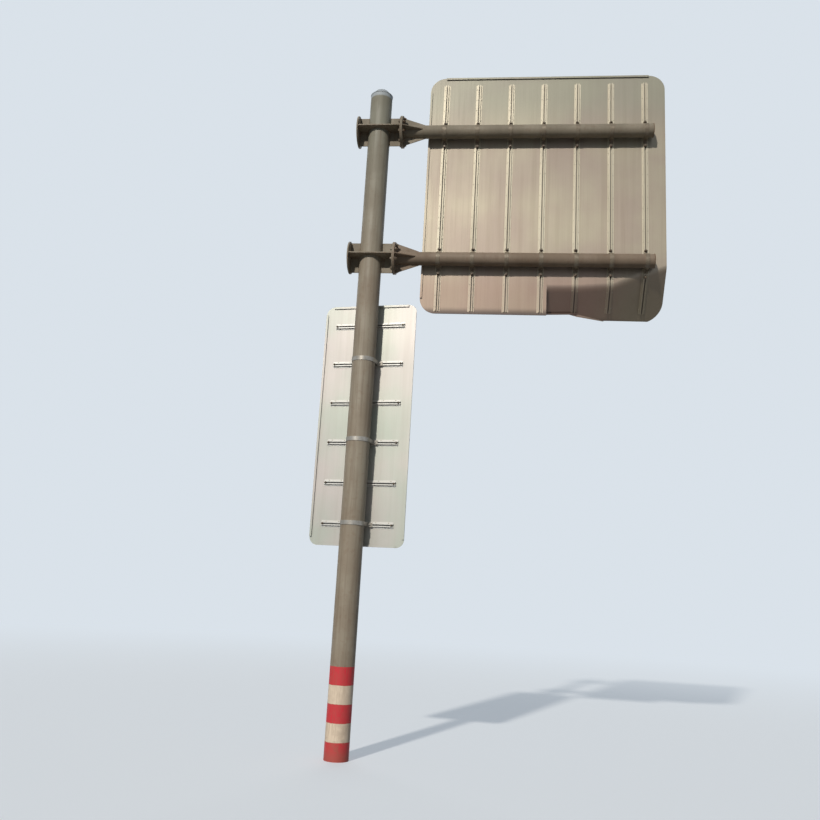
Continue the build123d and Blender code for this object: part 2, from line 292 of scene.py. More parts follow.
# A finish's colour, roughness and relief, the relief as a height of so many metres
def set_surface(tree, base, rough, relief, strength, height):
    inputs = {"Height": relief, "Strength": strength, "Distance": height}
    bump = add(tree, "ShaderNodeBump", inputs)
    shader = tree.nodes["Principled BSDF"]
    recolour(tree, base)
    tree.links.new(rough, shader.inputs["Roughness"])
    tree.links.new(bump.outputs[0], shader.inputs["Normal"])
    return shader


# Gives back the last colour too, so that a piece can lay more paint over it
def weathered_paint(
    name, colour, dull_colour, dirt_colour, seams=(), edge_radius=0.004, streaked=0.42, gloss=0.3
):
    material, tree = new_material(name)
    sizes = {"Blotch Size": 0.45, "Streak Width": 0.035, "Streak Length": 0.9, "Grain Size": 0.006}
    worn = use(tree, weathering, sizes)
    specks = use(tree, weathering, {"Blotch Size": 0.05, "Grain Size": 0.0012})["Blotches"]
    base = mix_of(tree, worn["Blotches"], colour, dull_colour)
    base = lay(tree, base, worn["Streaks"], streaked, dirt_colour)
    rust = math_of(tree, "MULTIPLY", range_of(tree, specks, speck_from, 1.0), speck_rust)
    for height, length in seams:
        runs = use(tree, runs_below, {"Height": height, "Length": length, "Width": 0.018})["Runs"]
        rust = math_of(tree, "ADD", rust, math_of(tree, "MULTIPLY", runs, run_rust), clamp=True)
    edges = use(tree, worn_edges, {"Radius": edge_radius})["Edges"]
    rust = math_of(tree, "MAXIMUM", rust, math_of(tree, "MULTIPLY", edges, edge_rust))
    base = mix_of(tree, rust, base, rust_colour)
    rough = range_of(tree, worn["Blotches"], 0, 1, paint_smooth, paint_chalked)
    rough = math_of(tree, "ADD", rough, math_of(tree, "MULTIPLY", rust, rust_roughens))
    relief = math_of(tree, "ADD", worn["Grain"], math_of(tree, "MULTIPLY", rust, rust_swells))
    shader = set_surface(tree, base, rough, relief, strength=0.25, height=0.0015)
    shader.inputs["Specular IOR Level"].default_value = gloss
    return material, base


def dress(material, *names):
    for name in names:
        node = nodes[name]
        node.data.materials.clear()
        node.data.materials.append(material)


# Pole: a steel tube 280 mm across, painted beige grey on site, with a thin cap welded on.
# It is slightly greener higher up, and its rim is pale with painted sky light. Its foot
# carries five red and white warning bands of 200 mm, brushed on by hand and splashed with mud.
arms = ("lower", "upper")
shelf_boxes = [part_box(f"{arm}_bracket_shelf") for arm in arms]
shelf_heights = [(low.z + high.z) / 2 for low, high in shelf_boxes]
pole_radius, pole_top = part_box("pole")[1].x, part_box("pole")[1].z
pole_colour, pole_dull, pole_dirt = tone(158, 149, 133), tone(146, 134, 118), tone(118, 104, 88)
pole_runs = 0.7
green_colour, green_from, green_share, green_depth = tone(112, 124, 114), 5.2, 0.75, 0.55
# painted sky light: the cap's pale bluish tone, also laid on the pole's top rim
cap_skylit_colour, cap_skylit_dull, cap_dirt = tone(174, 182, 188), tone(158, 165, 170), tone(126, 128, 126)
skylit_rim_high, skylit_rim_full, skylit_rim_share = 0.065, 0.6, 0.9
band_height, band_count = 0.20, 5
wobble_scale, wobble_band, band_wobble = 9.0, (0.2, 0.8), 0.003
band_red, band_white = tone(212, 57, 68), tone(234, 216, 194)
band_dirt, scuff_share = tone(134, 108, 88), 0.3
mud_height, mud_thin, mud_thick = 0.55, 0.18, 0.5
damp_height, damp_share = 0.25, 0.5
lap_from, lap_share = 0.475, 0.45

pole_material, base = weathered_paint(
    "pole_paint", pole_colour, pole_dull, pole_dirt, [(z, pole_runs) for z in shelf_heights]
)
tree = pole_material.node_tree
height = parts_of(tree)[2]
greened = range_of(tree, height, green_from, pole_top, 0.0, green_share)
base = mix_of(tree, greened, base, mix_of(tree, green_depth, base, green_colour))
# painted sky light: a pale band at the pole's top rim, in the cap's colour
rim_low, rim_high = pole_top - skylit_rim_high, pole_top - skylit_rim_full * skylit_rim_high
skylit_rim = range_of(tree, height, rim_low, rim_high, 0.0, skylit_rim_share)
base = mix_of(tree, skylit_rim, base, cap_skylit_colour)

# the bands' edges waver with the brush, and a darker lap lies where two bands meet
brushed = noise_of(tree, wobble_scale, detail=3.0)
wobble = range_of(tree, brushed, *wobble_band, -band_wobble, band_wobble)
step = math_of(tree, "DIVIDE", math_of(tree, "ADD", height, wobble), band_height)
is_white = math_of(tree, "GREATER_THAN", math_of(tree, "MODULO", step, 2.0), 1.0)
is_band = math_of(tree, "LESS_THAN", step, float(band_count))
bands = mix_of(tree, is_white, band_red, band_white)
sizes = {"Blotch Size": 0.09, "Streak Width": 0.02, "Streak Length": 0.22}
scuffs = use(tree, weathering, sizes)
splashed = range_of(tree, height, mud_height, 0.0, mud_thin, mud_thick)
stain = math_of(tree, "MULTIPLY", scuffs["Blotches"], splashed)
damp = range_of(tree, height, damp_height, 0.0, 0.0, damp_share)
stain = math_of(tree, "MAXIMUM", stain, damp)
scuffed = math_of(tree, "MULTIPLY", scuffs["Streaks"], scuff_share)
stain = math_of(tree, "MAXIMUM", stain, scuffed)
from_middle = math_of(tree, "SUBTRACT", math_of(tree, "FRACT", step), 0.5)
from_middle = math_of(tree, "ABSOLUTE", from_middle)
lap = range_of(tree, from_middle, lap_from, 0.5, 0.0, lap_share)
bands = mix_of(tree, math_of(tree, "MAXIMUM", stain, lap), bands, band_dirt)
recolour(tree, mix_of(tree, is_band, base, bands))
dress(pole_material, "pole")

# Pole cap: thin steel in the same paint, made far paler and bluer than the pole: painted
# sky light on its top.
cap_streaked = 0.2
cap_material, _ = weathered_paint(
    "pole_cap_paint", cap_skylit_colour, cap_skylit_dull, cap_dirt, streaked=cap_streaked
)
dress(cap_material, "pole_cap")

# Brackets and arms: plates and tubes of structural steel in the pole's paint, duller than
# the pole but less streaked, with rust coming through at the plates' edges. The lower arm
# has turned browner than the upper one.
arm_colour, arm_dull, arm_dirt = tone(144, 135, 120), tone(130, 122, 108), tone(104, 92, 78)
brown_colour, brown_dull = tone(139, 124, 109), tone(125, 110, 95)
bracket_runs = 0.25
arm_wear = {"edge_radius": 0.006, "streaked": 0.14, "gloss": 0.15}
tube_colours = {"lower": (brown_colour, brown_dull), "upper": (arm_colour, arm_dull)}
for arm, height in zip(arms, shelf_heights):
    arm_material, _ = weathered_paint(
        f"{arm}_arm_paint", *tube_colours[arm], arm_dirt, **arm_wear
    )
    seams = [(height, bracket_runs)]
    bracket_material, _ = weathered_paint(
        f"{arm}_bracket_paint", arm_colour, arm_dull, arm_dirt, seams, **arm_wear
    )
    for piece in ("end_plate", "flange", "shelf", "stiffeners"):
        dress(bracket_material, f"{arm}_bracket_{piece}")
    for piece in ("flange", "tube", "cap", "gussets"):
        dress(arm_material, f"{arm}_arm_{piece}")

# Weld beads: the pole, its cap, shelves, stiffeners, tubes, plates and gussets are welded
# all round. Each bead is a rippled run of weld metal under the paint, rusty in places.
bead_radius, bead_step, bead_ripple, bead_sides = 0.0045, 0.004, 0.16, 6
gusset_half, side_length, upright_length = 0.005, 0.25, 0.29
weld_colour, weld_dull, weld_dirt = tone(134, 118, 98), tone(116, 96, 76), tone(96, 72, 50)
weld_material, _ = weathered_paint("painted_weld", weld_colour, weld_dull, weld_dirt)


# A new piece of the gantry from a bmesh, in place, riding on the one body
def make_piece(name, bm, material):
    bmesh.ops.recalc_face_normals(bm, faces=bm.faces)
    mesh = bpy.data.meshes.new(name)
    bm.to_mesh(mesh)
    bm.free()
    mesh.materials.append(material)
    piece = bpy.data.objects.new(name, mesh)
    scene.collection.objects.link(piece)
    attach(piece, "root")
    return piece


# The skin over rings of points, which is closed at both ends or runs round in a loop
def skin(bm, rings, loop=False):
    pairs = zip(rings, rings[1:] + rings[:1]) if loop else zip(rings, rings[1:])
    for low, high in pairs:
        for k in range(len(low)):
            after = (k + 1) % len(low)
            bm.faces.new((low[k], low[after], high[after], high[k]))
    if not loop:
        bm.faces.new(rings[0])
        bm.faces.new(rings[-1])


# A run of weld along points. The normal is a direction that the run never follows.
def bead(bm, points, normal, loop=False, thick=bead_radius):
    count = len(points)
    rings = []
    for k, point in enumerate(points):
        before = points[k - 1] if loop or k else point
        after = points[(k + 1) % count] if loop or k < count - 1 else point
        along = (after - before).normalized()
        side = along.cross(normal).normalized()
        out = side.cross(along)
        radius = thick * (1 + bead_ripple * (1 if k % 2 else -1))
        ring = []
        for turn in range(bead_sides):
            angle = 2 * math.pi * turn / bead_sides
            offset = side * math.cos(angle) + out * math.sin(angle)
            ring.append(bm.verts.new(point + offset * radius))
        rings.append(ring)
    skin(bm, rings, loop)


def straight_bead(bm, start, end):
    start, end = Vector(start), Vector(end)
    count = max(2, round((end - start).length / bead_step))
    bead(bm, [start.lerp(end, k / count) for k in range(count + 1)], (end - start).orthogonal())


# Ring of weld round an upright tube (axis 2) or a level one (axis 0)
def round_bead(bm, middle, radius, axis):
    count = 2 * round(math.pi * radius / bead_step)
    points = []
    for k in range(count):
        angle = 2 * math.pi * k / count
        across, up = radius * math.cos(angle), radius * math.sin(angle)
        offset = (across, up, 0) if axis == 2 else (0, across, up)
        points.append(Vector(middle) + Vector(offset))
    bead(bm, points, Vector((0, 0, 1)) if axis == 2 else Vector((1, 0, 0)), loop=True)


bm = bmesh.new()
round_bead(bm, (0, 0, pole_top), pole_radius, axis=2)
make_piece("pole_cap_weld", bm, cap_material)

for arm, middle in zip(arms, shelf_heights):
    shelf_low, shelf_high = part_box(f"{arm}_bracket_shelf")
    plates_low, plates_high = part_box(f"{arm}_bracket_stiffeners")
    bm = bmesh.new()
    for z in (shelf_low.z, shelf_high.z):
        round_bead(bm, (0, 0, z), pole_radius, axis=2)
        for x in (shelf_low.x, shelf_high.x):
            straight_bead(bm, (x, shelf_low.y, z), (x, shelf_high.y, z))
    for y in (plates_low.y, plates_high.y):
        for low, high in ((plates_low.z, shelf_low.z), (shelf_high.z, plates_high.z)):
            for x in (plates_low.x, -pole_radius, pole_radius, plates_high.x):
                straight_bead(bm, (x, y, low), (x, y, high))
        for z in (shelf_low.z, shelf_high.z):
            straight_bead(bm, (plates_low.x, y, z), (-pole_radius, y, z))
            straight_bead(bm, (pole_radius, y, z), (plates_high.x, y, z))
    make_piece(f"{arm}_bracket_welds", bm, weld_material)

    tube_low, tube_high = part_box(f"{arm}_arm_tube")
    gusset_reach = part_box(f"{arm}_arm_gussets")[1].y
    root = tube_low.x
    bm = bmesh.new()
    for x in (root, tube_high.x):
        round_bead(bm, (x, 0, middle), tube_high.y, axis=0)
    for away in (-1, 1):
        inner, outer = away * tube_high.y, away * gusset_reach
        for face in (-gusset_half, gusset_half):
            level, above = middle + face, middle + inner
            straight_bead(bm, (root, inner, level), (root + side_length, inner, level))
            straight_bead(bm, (root, face, above), (root + upright_length, face, above))
            straight_bead(bm, (root, inner, level), (root, outer, level))
            straight_bead(bm, (root, face, above), (root, face, middle + outer))
    make_piece(f"{arm}_arm_welds", bm, weld_material)

# Flange bolts: eight M24 bolts through the two flanges of each arm, heads towards the
# pole and nuts towards the arm. Hot-dip galvanised and painted over with the arm.
random.seed(24)
flange_thread, flange_thread_out = 0.024, 0.012
flange_circle, flange_bolts = 0.165, 8
washer_sides, hexagon, thread_sides = 20, 6, 12
bolt_colour, bolt_dull, bolt_dirt = tone(128, 118, 104), tone(104, 90, 74), tone(92, 66, 46)
bolt_material, _ = weathered_paint("painted_bolts", bolt_colour, bolt_dull, bolt_dirt)


# A turned or hexagonal shape: rings of a radius at a height, closed at both ends
def ring_stack(bm, place, sides, profile, turn=0.0):
    rings = []
    for radius, height in profile:
        ring = []
        for k in range(sides):
            angle = turn + 2 * math.pi * k / sides
            local = Vector((radius * math.cos(angle), radius * math.sin(angle), height))
            ring.append(bm.verts.new(place @ local))
        rings.append(ring)
    skin(bm, rings)


# Place with its third axis along a direction
def facing(point, direction):
    turned = Vector(direction).to_track_quat("Z", "X").to_matrix().to_4x4()
    return Matrix.Translation(point) @ turned


# How far a spanner has left a hexagon turned
def left_turned():
    return random.uniform(0, math.pi / 3)


# One end of a bolt: washer, hexagon head or nut with its corners turned off, and the
# threaded end, if it shows. Sizes follow the thread's diameter as on standard bolts.
def bolt_end(bm, place, thread, turn, thread_out=0.0):
    washer, washer_high = thread * 0.92, thread * 0.15
    corner, bevel = thread * 0.87, thread * 0.08
    head = washer_high + thread * 0.68
    washer_profile = [(washer, 0), (washer, washer_high * 0.8), (washer * 0.96, washer_high)]
    ring_stack(bm, place, washer_sides, washer_profile)
    head_profile = [(corner, washer_high), (corner, head - bevel), (corner * 0.88, head)]
    ring_stack(bm, place, hexagon, head_profile, turn)
    if thread_out:
        pitch, crest, groove, tip = thread * 0.125, thread * 0.5, thread * 0.44, thread * 0.4
        profile = [(crest, head - pitch)]
        for k in range(round(thread_out / pitch)):
            profile += [(groove, head + pitch * (k + 0.3)), (crest, head + pitch * (k + 0.7))]
        profile.append((tip, profile[-1][1] + pitch))
        ring_stack(bm, place, thread_sides, profile)


for arm, middle in zip(arms, shelf_heights):
    head_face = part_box(f"{arm}_bracket_flange")[0].x
    nut_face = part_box(f"{arm}_arm_flange")[1].x
    bm = bmesh.new()
    for k in range(flange_bolts):
        angle = 2 * math.pi * (k + 0.5) / flange_bolts
        y, z = flange_circle * math.cos(angle), middle + flange_circle * math.sin(angle)
        bolt_end(bm, facing((head_face, y, z), (-1, 0, 0)), flange_thread, left_turned())
        nut_place = facing((nut_face, y, z), (1, 0, 0))
        bolt_end(bm, nut_place, flange_thread, left_turned(), flange_thread_out)
    make_piece(f"{arm}_flange_bolts", bm, bolt_material)

# Sheets of the large sign: bare aluminium, oxidised to a warm matt grey, slightly dented
# between the channels, with rain streaks, and painted shade wherever the metal faces
# downward, which darkens the bent corner. A lower metal share stands for the oxide.
overhang_shade_colour = tone(104, 84, 68)
overhang_shade_slope, overhang_shade_steep, overhang_shade_share = -0.10, -0.55, 0.55
streak_share, fine_streak_share, fine_blotch_share = 0.16, 0.06, 0.10
dent_scale, sheet_grain, sheet_rough_varies = 1.2, 0.05, (-0.01, 0.02)
main_colour, main_dull, main_dirt = tone(152, 144, 126), tone(144, 131, 119), tone(112, 98, 78)
main_metal, top_metal, main_rough, main_dents = 0.5, 0.3, 0.49, 9.0
# painted shade: the sheet above the upper arm is darkened and greened
top_shade_green, green_above, top_shade_share = tone(116, 123, 110), 0.1, 0.45
# a brown and olive tint below the lower arm, partly painted shade over the bent corner
foot_brown_shade, foot_olive_shade, foot_brown_shade_share = tone(121, 88, 79), tone(98, 94, 74), 0.45
brown_above, brown_below_arm, olive_from, olive_to = 0.1, 0.4, 0.4, 1.2
# painted shade along the foot, and a painted shadow beside the torn edge
edge_shade_colour, foot_shade_high, foot_shade_full, foot_shade_amount = tone(66, 56, 52), 0.10, 0.01, 0.85
torn_wide, torn_full, torn_high, torn_fade, torn_shadow_share = 0.05, 0.005, 0.36, 0.06, 0.7
dull_above, dull_below = 0.5, 0.3


def oxidised_sheet(name, colour, dull_colour, dirt_colour, metal, rough, dents):
    material, tree = new_material(name)
    sizes = {"Blotch Size": 1.1, "Streak Width": 0.08, "Streak Length": 2.2, "Grain Size": 0.003}
    worn = use(tree, weathering, sizes)
    sizes = {"Blotch Size": 0.16, "Streak Width": 0.012, "Streak Length": 0.7}
    fine = use(tree, weathering, sizes)
    base = mix_of(tree, worn["Blotches"], colour, dull_colour)
    base = lay(tree, base, worn["Streaks"], streak_share, dirt_colour)
    base = lay(tree, base, fine["Streaks"], fine_streak_share, dirt_colour)
    base = lay(tree, base, fine["Blotches"], fine_blotch_share, dull_colour)
    # painted shade: surfaces that face downward are darkened towards a brown grey
    normal = add(tree, "ShaderNodeNewGeometry").outputs["Normal"]
    upward = add(tree, "ShaderNodeSeparateXYZ", {0: normal}).outputs[2]
    overhang_shade = range_of(tree, upward, overhang_shade_slope, overhang_shade_steep, 0.0, overhang_shade_share)
    base = mix_of(tree, overhang_shade, base, overhang_shade_colour)
    varied = math_of(tree, "ADD", range_of(tree, fine["Streaks"], 0, 1, *sheet_rough_varies), rough)
    relief = math_of(tree, "MULTIPLY", noise_of(tree, dent_scale, detail=0.0), dents)
    relief = math_of(tree, "ADD", relief, math_of(tree, "MULTIPLY", worn["Grain"], sheet_grain))
    shader = set_surface(tree, base, varied, relief, strength=1.0, height=0.001)
    shader.inputs["Metallic"].default_value = metal
    return material, base


# Brown below the lower arm, and olive towards the sign's outer end: a tint, and painted
# shade that darkens the bent corner below the arm
def brown_and_shade_below(tree, base, share):
    along, _, height = parts_of(tree)
    arm = shelf_heights[0]
    low_down = range_of(tree, height, arm + brown_above, arm - brown_below_arm, 0.0, share)
    outward = range_of(tree, along, torn_edge + olive_from, torn_edge + olive_to)
    return mix_of(tree, low_down, base, mix_of(tree, outward, foot_brown_shade, foot_olive_shade))


main_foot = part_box("main_sign_left_sheet")[0].z
torn_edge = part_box("main_sign_right_sheet")[0].x
main_sheet, base = oxidised_sheet(
    "main_sheet_aluminium", main_colour, main_dull, main_dirt, main_metal, main_rough, main_dents
)
tree = main_sheet.node_tree
along, _, height = parts_of(tree)

# above the upper arm the sheet is painted darker and greener, a painted shade that damps
# its sheen, and made duller; below the lower arm it is brown, partly painted shade
top_low, top_high = shelf_heights[1] - green_above, pole_top + green_above
greened = range_of(tree, height, top_low, top_high, 0.0, top_shade_share)
base = brown_and_shade_below(tree, mix_of(tree, greened, base, top_shade_green), foot_brown_shade_share)

# painted shadow beside the torn edge, where the left half shades the bent right half, and
# painted shade along the sign's foot, for the shaded underside of its hem
beside = range_of(tree, along, torn_edge + torn_wide, torn_edge + torn_full)
torn_shadow = math_of(tree, "MULTIPLY", beside, math_of(tree, "GREATER_THAN", along, torn_edge))
torn_top = main_foot + torn_high
near_foot = range_of(tree, height, torn_top, torn_top - torn_fade, 0.0, torn_shadow_share)
base = mix_of(tree, math_of(tree, "MULTIPLY", torn_shadow, near_foot), base, edge_shade_colour)
foot_shade_top = main_foot + foot_shade_high
foot_shade = range_of(tree, height, foot_shade_top, main_foot + foot_shade_full, 0.0, foot_shade_amount)
recolour(tree, mix_of(tree, foot_shade, base, edge_shade_colour))
dull_from, dull_to = shelf_heights[0] + dull_above, shelf_heights[1] - dull_below
dulled = range_of(tree, height, dull_from, dull_to, main_metal, top_metal)
tree.links.new(dulled, tree.nodes["Principled BSDF"].inputs["Metallic"])
dress(main_sheet, "main_sign_left_sheet", "main_sign_right_sheet")

# Joint: the two halves of the large sign meet edge to edge, and the gap between them is
# run full of grey sealant, down to where the right half has been bent away.
sealant_radius, sealant_step = 0.0018, 0.012
sealant_foot, sealant_head, joint_aside = 0.37, 0.01, 0.01
sealant_colour, sealant_dull = tone(140, 134, 122), tone(128, 122, 110)
sealant_dirt = tone(98, 90, 78)
sealant_material, _ = weathered_paint("joint_sealant", sealant_colour, sealant_dull, sealant_dirt)
outlook = 1.0
toward = Vector((0, 1, 0))


# Search tree of a node's surface, to find where a straight look from outside meets it
def surface_of(name):
    mesh = nodes[name].data
    return BVHTree.FromPolygons([v.co for v in mesh.vertices], [p.vertices for p in mesh.polygons])


left_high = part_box("main_sign_left_sheet")[1]
joint_x = (left_high.x + torn_edge) / 2
joint_low, joint_high = main_foot + sealant_foot, left_high.z - sealant_head
joint_sheet = surface_of("main_sign_left_sheet")
probe = Vector((joint_x - joint_aside, 0, (joint_low + joint_high) / 2))
rear = joint_sheet.ray_cast(probe - toward * outlook, toward)[0]
front = joint_sheet.ray_cast(probe + toward * outlook, -toward)[0]
joint_y = (rear.y + front.y) / 2
count = round((joint_high - joint_low) / sealant_step)
line = []
for k in range(count + 1):
    z = joint_low + (joint_high - joint_low) * k / count
    line.append(Vector((joint_x, joint_y, z)))
bm = bmesh.new()
bead(bm, line, Vector((1, 0, 0)), thick=sealant_radius)
make_piece("main_sign_joint", bm, sealant_material)

# Side sign's sheet: the same aluminium in one piece, newer and brighter, hemmed along its
# straight edges. It is turned a little about the pole, as its widest face says.
side_colour, side_dull, side_dirt = tone(182, 175, 170), tone(168, 173, 162), tone(148, 140, 128)
side_metal, side_rough, side_dents = 0.55, 0.475, 11.0
side_sheet, _ = oxidised_sheet(
    "side_sheet_aluminium", side_colour, side_dull, side_dirt, side_metal, side_rough, side_dents
)
dress(side_sheet, "side_sign_sheet")
side_mesh = nodes["side_sign_sheet"].data
side_face = max(side_mesh.polygons, key=lambda face: face.area * (face.normal.y > 0.5))
side_facing = side_face.normal
side_across = side_facing.cross(Vector((0, 0, 1)))


# How far a node reaches along the side sign
def side_reach(name):
    return max(v.co.dot(side_across) for v in nodes[name].data.vertices)


# A point well behind the side sign, so far along it from the pole and at a height
def behind_side(along, z):
    point = side_across * along - side_facing * outlook
    point.z = z
    return point


# Channels: extruded aluminium, a little brighter than the sheets that they are riveted to.
# Their slots are painted nearly black: dust and wet inside, and painted shade in the recess.
rib_count, rail_count = 7, 6
ribs = [f"main_sign_rib_{k + 1}" for k in range(rib_count)]
rails = [f"side_sign_rail_{k + 1}" for k in range(rail_count)]
# the slots' near-black: dirt, and painted shade in the recess
slot_half, slot_shade_and_dirt, slot_shade_share = 0.0085, tone(58, 50, 44), 0.6
rib_colour, rib_dull, rib_dirt = tone(188, 180, 160), tone(172, 164, 146), tone(130, 116, 96)
rib_metal, rib_rough, rib_brown_shade = 0.4, 0.5, 0.35
rail_colour, rail_dull, rail_dirt = tone(204, 202, 196), tone(192, 190, 184), tone(146, 140, 130)
rail_metal, rail_rough, channel_dents = 0.5, 0.44, 2.0


# The middle of a node's box along one axis
def middle_of(name, axis):
    low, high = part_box(name)
    return (low[axis] + high[axis]) / 2


# Blackens the slots of channels that lie side by side, counted along one axis: dust and
# painted shade
def blacken_slots(material, base, names, axis):
    tree = material.node_tree
    first, last = middle_of(names[0], axis), middle_of(names[-1], axis)
    pitch = (last - first) / (len(names) - 1)
    along = math_of(tree, "SUBTRACT", parts_of(tree)[axis], first)
    step = math_of(tree, "DIVIDE", along, pitch)
    off = math_of(tree, "SUBTRACT", step, math_of(tree, "ROUND", step))
    black = math_of(tree, "LESS_THAN", math_of(tree, "ABSOLUTE", off), slot_half / abs(pitch))
    recolour(tree, lay(tree, base, black, slot_shade_share, slot_shade_and_dirt))


rib_material, base = oxidised_sheet(
    "rib_aluminium", rib_colour, rib_dull, rib_dirt, rib_metal, rib_rough, channel_dents
)
# partly painted shade below the lower arm, as on the sheets
base = brown_and_shade_below(rib_material.node_tree, base, rib_brown_shade)
blacken_slots(rib_material, base, ribs, axis=0)
dress(rib_material, *ribs)
rail_material, base = oxidised_sheet(
    "rail_aluminium", rail_colour, rail_dull, rail_dirt, rail_metal, rail_rough, channel_dents
)
blacken_slots(rail_material, base, rails, axis=2)
dress(rail_material, *rails)

# Rivets: blind aluminium rivets through both feet of every channel, a hand and a half
# apart, each a low dome with the hole of its pin.
rivet_radius, rivet_high, rivet_pitch, rivet_end = 0.0065, 0.0025, 0.15, 0.06
rivet_hole, rivet_sunk, rivet_row, rivet_sides = 0.0018, 0.001, 0.0305, 10
rivet_profile = [
    (rivet_radius, -rivet_sunk),
    (rivet_radius, rivet_high * 0.3),
    (rivet_radius * 0.8, rivet_high * 0.75),
    (rivet_radius * 0.45, rivet_high),
    (rivet_hole, rivet_high),
    (rivet_hole * 0.8, rivet_high * 0.4),
]
rivet_colour, rivet_dull, rivet_dirt = tone(178, 172, 156), tone(164, 158, 142), tone(120, 108, 90)
rivet_metal, rivet_rough, rivet_dents = 0.5, 0.45, 1.0
rivet_material, _ = oxidised_sheet(
    "rivet_aluminium", rivet_colour, rivet_dull, rivet_dirt, rivet_metal, rivet_rough, rivet_dents
)

bm = bmesh.new()
for name in ribs:
    low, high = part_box(name)
    surface = surface_of(name)
    length = high.z - low.z - 2 * rivet_end
    count = round(length / rivet_pitch)
    for row in (-rivet_row, rivet_row):
        for k in range(count + 1):
            z = low.z + rivet_end + length * k / count
            start = Vector((middle_of(name, 0) + row, -outlook, z))
            point, normal = surface.ray_cast(start, toward)[:2]
            if point:
                ring_stack(bm, facing(point, normal), rivet_sides, rivet_profile)
make_piece("main_sign_rivets", bm, rivet_material)

bm = bmesh.new()
for name in rails:
    surface = surface_of(name)
    reach = side_reach(name) - rivet_end
    count = round(2 * reach / rivet_pitch)
    for row in (-rivet_row, rivet_row):
        for k in range(count + 1):
            start = behind_side(reach * (2 * k / count - 1), middle_of(name, 2) + row)
            point, normal = surface.ray_cast(start, side_facing)[:2]
            ring_stack(bm, facing(point, normal), rivet_sides, rivet_profile)
make_piece("side_sign_rivets", bm, rivet_material)

# Straps: flat steel bar, hot-dip galvanised. Those on the pole are still bright, those on
# the arms have been painted over and gone dull, while their back plates are paler.
flake_scale, flake_rough_varies = 90.0, (-0.05, 0.06)
zinc_dirt_share, zinc_rust_share = 0.5, 0.15
bright_colour, bright_dull = tone(174, 170, 162), tone(158, 153, 145)
painted_colour, painted_dull = tone(132, 121, 104), tone(120, 108, 90)
plate_colour, plate_dull = tone(188, 178, 158), tone(172, 160, 140)
bright_dirt, painted_dirt, plate_dirt = tone(128, 120, 108), tone(92, 78, 62), tone(132, 116, 94)


def galvanised(name, colour, dull_colour, dirt_colour, metal, rough):
    material, tree = new_material(name)
    place = add(tree, "ShaderNodeTexCoord").outputs["Object"]
    spangle = add(tree, "ShaderNodeTexVoronoi", {"Vector": place, "Scale": flake_scale})
    flakes = add(tree, "ShaderNodeSeparateColor", {0: spangle.outputs["Color"]}).outputs[0]
    sizes = {"Blotch Size": 0.08, "Streak Width": 0.01, "Streak Length": 0.2}
    worn = use(tree, weathering, sizes)
    base = mix_of(tree, flakes, colour, dull_colour)
    base = lay(tree, base, worn["Blotches"], zinc_dirt_share, dirt_colour)
    edges = use(tree, worn_edges, {"Radius": 0.003})["Edges"]
    base = lay(tree, base, edges, zinc_rust_share, rust_colour)
    varied = math_of(tree, "ADD", range_of(tree, flakes, 0, 1, *flake_rough_varies), rough)
    shader = set_surface(tree, base, varied, flakes, strength=0.2, height=0.0005)
    shader.inputs["Metallic"].default_value = metal
    return material


pole_strap = galvanised(
    "bright_zinc", bright_colour, bright_dull, bright_dirt, metal=0.6, rough=0.4
)
arm_strap = galvanised(
    "painted_zinc", painted_colour, painted_dull, painted_dirt, metal=0.15, rough=0.5
)
plate_zinc = galvanised(
    "plate_zinc", plate_colour, plate_dull, plate_dirt, metal=0.3, rough=0.46
)
pole_hoops = [f"side_sign_hoop_{k + 1}" for k in range(rail_count // 2)]
for name in pole_hoops:
    dress(pole_strap, name, f"{name}_plate")
for arm in arms:
    dress(arm_strap, f"{arm}_arm_hoops")
    dress(plate_zinc, f"{arm}_arm_hoop_plates")

# Strap bolts: an M12 T-bolt from each channel's slot through the back plate and the lug,
# with a washer and a nut on the viewer's side. Two hold each strap.
strap_thread, strap_thread_out, lug_inset = 0.012, 0.012, 0.0227
dark_colour, dark_dull, dark_dirt = tone(104, 92, 76), tone(92, 78, 62), tone(74, 58, 44)
bolt_zinc = galvanised("bolt_zinc", dark_colour, dark_dull, dark_dirt, metal=0.15, rough=0.5)
bm = bmesh.new()
for arm, middle in zip(arms, shelf_heights):
    hoops = surface_of(f"{arm}_arm_hoops")
    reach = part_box(f"{arm}_arm_hoops")[1].z - middle - lug_inset
    for name in ribs:
        for z in (middle - reach, middle + reach):
            start = Vector((middle_of(name, 0), -outlook, z))
            place = facing(hoops.ray_cast(start, toward)[0], -toward)
            bolt_end(bm, place, strap_thread, left_turned(), strap_thread_out)
make_piece("arm_strap_bolts", bm, bolt_zinc)

bm = bmesh.new()
for name in pole_hoops:
    hoop = surface_of(name)
    reach = side_reach(name) - lug_inset
    for along in (-reach, reach):
        point = hoop.ray_cast(behind_side(along, middle_of(name, 2)), side_facing)[0]
        place = facing(point, -side_facing)
        bolt_end(bm, place, strap_thread, left_turned(), strap_thread_out)
make_piece("pole_strap_bolts", bm, pole_strap)

# Rail bolts: one more T-bolt with its nut at each end of the side sign's rails, rusted
# dark, which keeps the rail from being drawn off and its slot from closing.
rail_thread, rail_thread_out, rail_bolt_inset, slot_lip = 0.015, 0.006, 0.02, 0.012
bm = bmesh.new()
for name in rails:
    rail = surface_of(name)
    reach = side_reach(name) - rail_bolt_inset
    for along in (-reach, reach):
        start = behind_side(along, middle_of(name, 2) + slot_lip)
        point = rail.ray_cast(start, side_facing)[0]
        point.z -= slot_lip
        place = facing(point, -side_facing)
        bolt_end(bm, place, rail_thread, left_turned(), rail_thread_out)
make_piece("side_sign_rail_bolts", bm, bolt_zinc)

